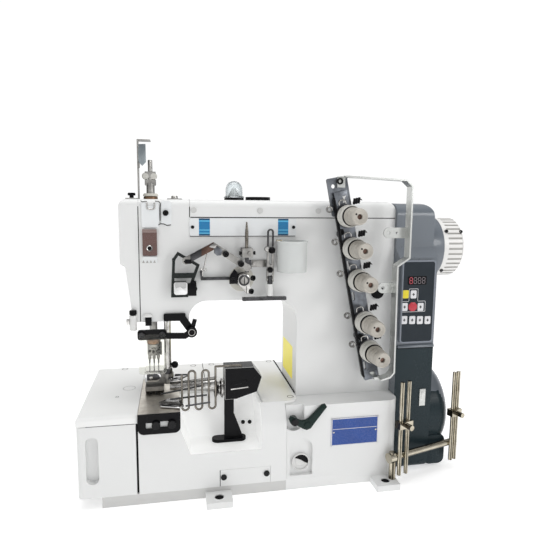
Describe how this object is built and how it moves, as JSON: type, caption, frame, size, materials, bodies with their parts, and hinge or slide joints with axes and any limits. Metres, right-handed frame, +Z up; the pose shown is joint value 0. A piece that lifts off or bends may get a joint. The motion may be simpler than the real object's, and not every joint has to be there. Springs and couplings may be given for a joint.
{
  "type": "binding coverstitch machine",
  "caption": "Flat-bed binding coverstitch sewing machine head with side motor, control panel, thread tension unit, binder and upright tape guide.",
  "frame": {"origin": "centre of the four foot holes, on the table plane under the feet", "axes": "+X along the arm towards the handwheel, +Y from the operator's side to the back, +Z up"},
  "size_m": [0.495, 0.2355, 0.43],
  "materials": {
    "casting_white": "satin enamel",
    "cover_white": "satin enamel",
    "plate_white": "satin enamel",
    "needle_steel": "ground",
    "bright_steel": "polished",
    "guard_steel": "polished",
    "bracket_steel": "brushed",
    "black_paint": "semi-gloss black",
    "black_plastic": "matte black",
    "screw_black": "black oxide",
    "strip_white": "gloss",
    "plate_blue": "printed blue",
    "gauge_clear": "clear",
    "cup_milky": "translucent",
    "brown_plastic": "gloss brown",
    "motor_grey": "gloss dark grey",
    "panel_dark": "film overlay",
    "wheel_white": "satin white",
    "wire_bronze": "drawn wire",
    "tape_nickel": "nickel plate",
    "lever_green": "dark green black",
    "knob_warm": "warm grey"
  },
  "bodies": {
    "machine": {"bed_frame": "casting_white", "arm_frame": "casting_white", "front_cover": "cover_white", "access_plate": "cover_white", "left_top_plate": "cover_white", "face_cover": "cover_white", "top_cover": "cover_white", "head_thread_plate": "cover_white", "throat_plate": "plate_white", "slide_plate": "plate_white", "needle_plate": "needle_steel", "cover_hinge_pin": "bright_steel", "take_up_guard": "bright_steel", "guide_arm": "bright_steel", "pin_guide": "bright_steel", "slot_guide": "bright_steel", "tension_posts": "bright_steel", "tension_discs": "bright_steel", "binder_scroll": "bright_steel", "tension_guard": "guard_steel", "loop_guard": "guard_steel", "tension_bracket": "bracket_steel", "front_thread_guide": "black_paint", "guard_bracket": "black_paint", "binder_bracket": "black_paint", "binder_block": "black_paint", "top_caps": "black_plastic", "machine_screws": "screw_black", "name_strip": "strip_white", "nameplate": "plate_blue", "oil_gauge": "gauge_clear", "oil_dome": "gauge_clear", "oil_cup": "cup_milky", "head_tension_plate": "brown_plastic", "motor_housing": "motor_grey", "control_panel": "panel_dark", "tape_wire": "wire_bronze", "tape_rails": "tape_nickel"},
    "left_door": {"left_cover": "cover_white"},
    "upper_drive": {"arm_shaft": "bright_steel", "handwheel": "wheel_white"},
    "lower_drive": {"main_shaft": "bright_steel"},
    "needle_unit": {"needle_bar": "bright_steel", "needle_clamp": "needle_steel", "needles": "bright_steel"},
    "presser_unit": {"presser_bar": "bright_steel", "presser_foot": "needle_steel"},
    "feed_unit": {"feed_dog": "needle_steel"},
    "looper_unit": {"looper": "bright_steel"},
    "eye_guard": {"guard_bar": "black_paint", "guard_shield": "gauge_clear"},
    "take_up_unit": {"take_up_lever": "bright_steel"},
    "feed_lever_unit": {"feed_lever": "lever_green"},
    "tape_stop_left": {"tape_stop_1": "tape_nickel"},
    "tape_stop_right": {"tape_stop_2": "tape_nickel"},
    "knob_1": {"tension_knob_1": "knob_warm"},
    "knob_2": {"tension_knob_2": "knob_warm"},
    "knob_3": {"tension_knob_3": "knob_warm"},
    "knob_4": {"tension_knob_4": "knob_warm"},
    "knob_5": {"tension_knob_5": "knob_warm"}
  },
  "joints": [
    {"name": "left_cover_swing", "type": "hinge", "parent": "machine", "child": "left_door", "pos_m": [-0.259, 0.079, 0.057], "axis": [0, 0, 1], "range_deg": [-90, 0]},
    {"name": "handwheel_turn", "type": "hinge", "parent": "machine", "child": "upper_drive", "pos_m": [0.201, -0.011, 0.297], "axis": [1, 0, 0], "continuous": true},
    {"name": "main_shaft_turn", "type": "hinge", "parent": "machine", "child": "lower_drive", "pos_m": [0.001, -0.011, 0.07], "axis": [1, 0, 0], "continuous": true},
    {"name": "needle_stroke", "type": "slide", "parent": "machine", "child": "needle_unit", "axis": [0, 0, 1], "range_m": [-0.016, 0.008]},
    {"name": "presser_lift", "type": "slide", "parent": "machine", "child": "presser_unit", "axis": [0, 0, 1], "range_m": [0, 0.006], "stiffness_N_per_m": 600, "springref_m": -0.01},
    {"name": "feed_stroke", "type": "slide", "parent": "machine", "child": "feed_unit", "axis": [0, 1, 0], "range_m": [-0.002, 0.002]},
    {"name": "looper_rock", "type": "hinge", "parent": "machine", "child": "looper_unit", "pos_m": [-0.177, -0.011, 0.034], "axis": [0, 1, 0], "range_deg": [-8, 8]},
    {"name": "eye_guard_lift", "type": "hinge", "parent": "machine", "child": "eye_guard", "pos_m": [-0.134, -0.059, 0.2], "axis": [0, 1, 0], "range_deg": [0, 45]},
    {"name": "take_up_rock", "type": "hinge", "parent": "machine", "child": "take_up_unit", "pos_m": [-0.072, -0.053, 0.263], "axis": [0, 1, 0], "range_deg": [-10, 10]},
    {"name": "feed_lever_set", "type": "hinge", "parent": "machine", "child": "feed_lever_unit", "pos_m": [-0.012, -0.089, 0.09], "axis": [0, 1, 0], "range_deg": [-15, 15]},
    {"name": "knob_1_turn", "type": "hinge", "parent": "machine", "child": "knob_1", "pos_m": [0.053, -0.089, 0.34], "axis": [0, 1, 0], "continuous": true},
    {"name": "knob_2_turn", "type": "hinge", "parent": "machine", "child": "knob_2", "pos_m": [0.06091, -0.089, 0.30079], "axis": [0, 1, 0], "continuous": true},
    {"name": "knob_3_turn", "type": "hinge", "parent": "machine", "child": "knob_3", "pos_m": [0.06881, -0.089, 0.26158], "axis": [0, 1, 0], "continuous": true},
    {"name": "knob_4_turn", "type": "hinge", "parent": "machine", "child": "knob_4", "pos_m": [0.07949, -0.089, 0.20864], "axis": [0, 1, 0], "continuous": true},
    {"name": "knob_5_turn", "type": "hinge", "parent": "machine", "child": "knob_5", "pos_m": [0.087, -0.089, 0.17139], "axis": [0, 1, 0], "continuous": true},
    {"name": "tape_stop_left_set", "type": "slide", "parent": "machine", "child": "tape_stop_left", "axis": [0, 0, 1], "range_m": [-0.02, 0.04]},
    {"name": "tape_stop_right_set", "type": "slide", "parent": "machine", "child": "tape_stop_right", "axis": [0, 0, 1], "range_m": [-0.02, 0.04]}
  ],
  "couplings": [
    {"joint": "main_shaft_turn", "follows": "handwheel_turn", "ratio": 1}
  ]
}
